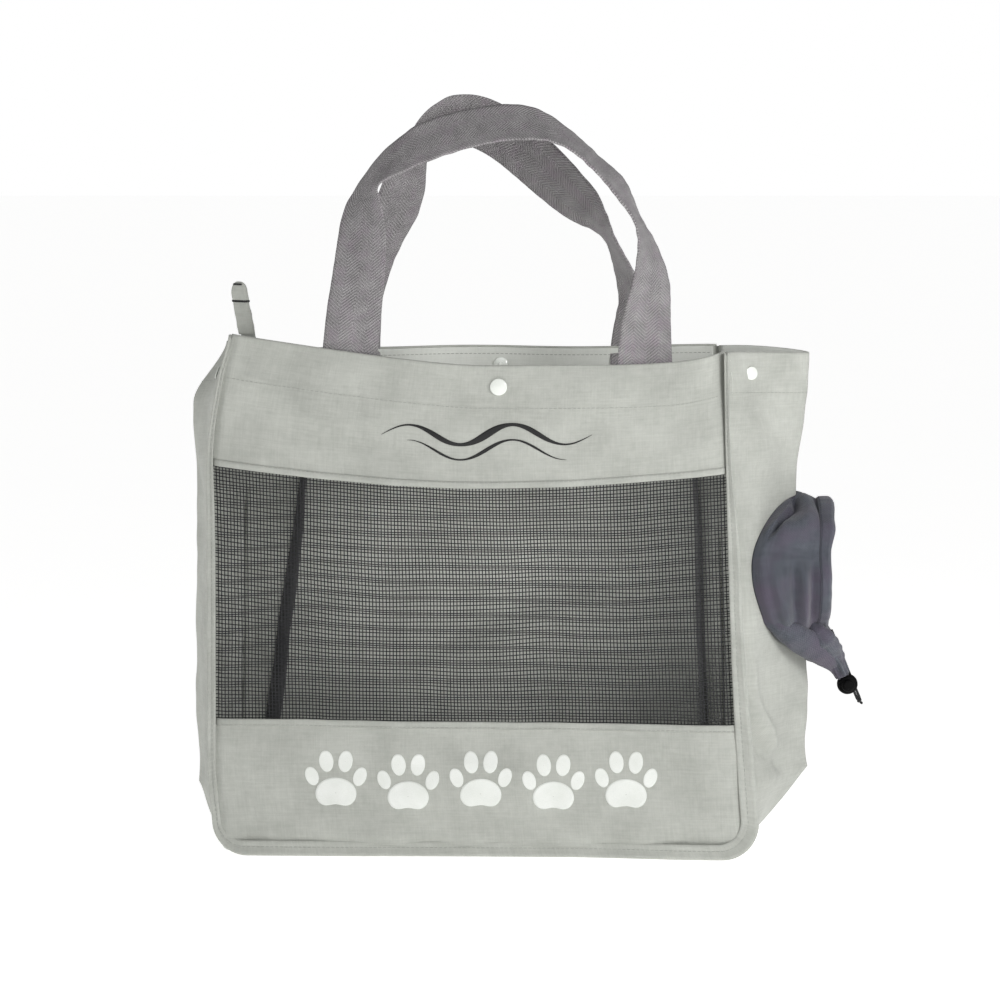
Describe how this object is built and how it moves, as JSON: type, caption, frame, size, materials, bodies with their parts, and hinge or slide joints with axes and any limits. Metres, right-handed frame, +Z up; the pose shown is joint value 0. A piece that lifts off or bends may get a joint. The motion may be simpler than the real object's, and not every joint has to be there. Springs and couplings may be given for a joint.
{
  "type": "pet carrier bag",
  "caption": "Soft canvas pet carrier tote with a mesh window, webbing handles, zipped top closure and a drawstring side collar for the pet's head.",
  "frame": {"origin": "middle of the underside of the base", "axes": "+Z up, +X to the right of the window side, +Y from the window side to the back"},
  "size_m": [0.5013, 0.162, 0.5498],
  "materials": {
    "canvas": "matt plain-woven canvas",
    "mesh": "open woven mesh",
    "board": "matt sheet",
    "zip_tape": "herringbone tape",
    "zip_teeth": "satin coil",
    "zip_metal": "satin enamel",
    "webbing": "ribbed webbing",
    "snap": "smooth",
    "collar_cloth": "soft close-woven lining cloth",
    "cord": "braided cord",
    "lock_plastic": "satin moulded plastic",
    "spring_steel": "spring wire"
  },
  "bodies": {
    "shell": {"front_top_band": "canvas", "front_bottom_band": "canvas", "window_hem_top": "canvas", "window_hem_bottom": "canvas", "rear_panel": "canvas", "left_gusset_front": "canvas", "left_gusset_rear": "canvas", "right_gusset_front": "canvas", "right_gusset_rear": "canvas", "front_seam_ridge": "canvas", "rear_seam_ridge": "canvas", "base_panel": "canvas", "front_facing": "canvas", "rear_facing": "canvas", "left_facing": "canvas", "right_facing": "canvas", "zip_end_tab": "canvas", "front_mesh_window": "mesh", "base_board": "board", "zip_tail": "zip_tape", "front_handle_ends": "webbing", "rear_handle_ends": "webbing", "front_snap_cap": "snap", "front_snap_socket": "snap", "rear_snap_cap": "snap", "rear_snap_stud": "snap", "left_gusset_stud": "snap", "left_gusset_socket": "snap", "right_gusset_stud": "snap", "right_gusset_socket": "snap", "gusset_snap_caps": "snap", "head_collar": "collar_cloth", "collar_hem": "collar_cloth", "hem_cord": "cord", "front_cord_tail": "cord", "rear_cord_tail": "cord", "cord_knot": "cord"},
    "front_flap": {"front_zip_flap": "canvas", "front_zip_tape": "zip_tape", "front_zip_teeth": "zip_teeth", "front_zip_stop": "zip_teeth"},
    "rear_flap": {"rear_zip_flap": "canvas", "rear_zip_tape": "zip_tape", "rear_zip_teeth": "zip_teeth", "rear_zip_stop": "zip_teeth"},
    "slider": {"zip_slider": "zip_metal"},
    "pull": {"zip_pull": "zip_metal"},
    "front_loop": {"front_handle": "webbing"},
    "rear_loop": {"rear_handle": "webbing"},
    "cord_lock": {"cord_lock_body": "lock_plastic", "cord_lock_spring": "spring_steel"},
    "lock_button": {"cord_lock_plunger": "lock_plastic"}
  },
  "joints": [
    {"name": "front_handle_hinge", "type": "hinge", "parent": "shell", "child": "front_loop", "pos_m": [0.014, -0.05105, 0.37069], "axis": [1, 0, 0], "range_deg": [0, 145]},
    {"name": "rear_handle_hinge", "type": "hinge", "parent": "shell", "child": "rear_loop", "pos_m": [0.014, 0.05105, 0.37069], "axis": [-1, 0, 0], "range_deg": [0, 145]},
    {"name": "front_flap_hinge", "type": "hinge", "parent": "shell", "child": "front_flap", "pos_m": [0.0125, -0.05143, 0.33], "axis": [1, 0, 0], "range_deg": [0, 80]},
    {"name": "rear_flap_hinge", "type": "hinge", "parent": "shell", "child": "rear_flap", "pos_m": [0.0125, 0.05143, 0.33], "axis": [-1, 0, 0], "range_deg": [0, 80]},
    {"name": "zip_slide", "type": "slide", "parent": "front_flap", "child": "slider", "axis": [-1, 0, 0], "range_m": [0, 0.29]},
    {"name": "pull_hinge", "type": "hinge", "parent": "slider", "child": "pull", "pos_m": [0.147, 0, 0.3324], "axis": [0, -1, 0], "range_deg": [0, 170]},
    {"name": "cord_lock_slide", "type": "slide", "parent": "shell", "child": "cord_lock", "axis": [-0.3961, 0, 0.9182], "range_m": [0, 0.03]},
    {"name": "lock_button_press", "type": "slide", "parent": "cord_lock", "child": "lock_button", "axis": [0, 1, 0], "range_m": [0, 0.004], "stiffness_N_per_m": 150}
  ],
  "couplings": [
    {"joint": "rear_flap_hinge", "follows": "front_flap_hinge", "ratio": 1},
    {"joint": "zip_slide", "follows": "front_flap_hinge", "m_per_rad": 0.2077}
  ]
}
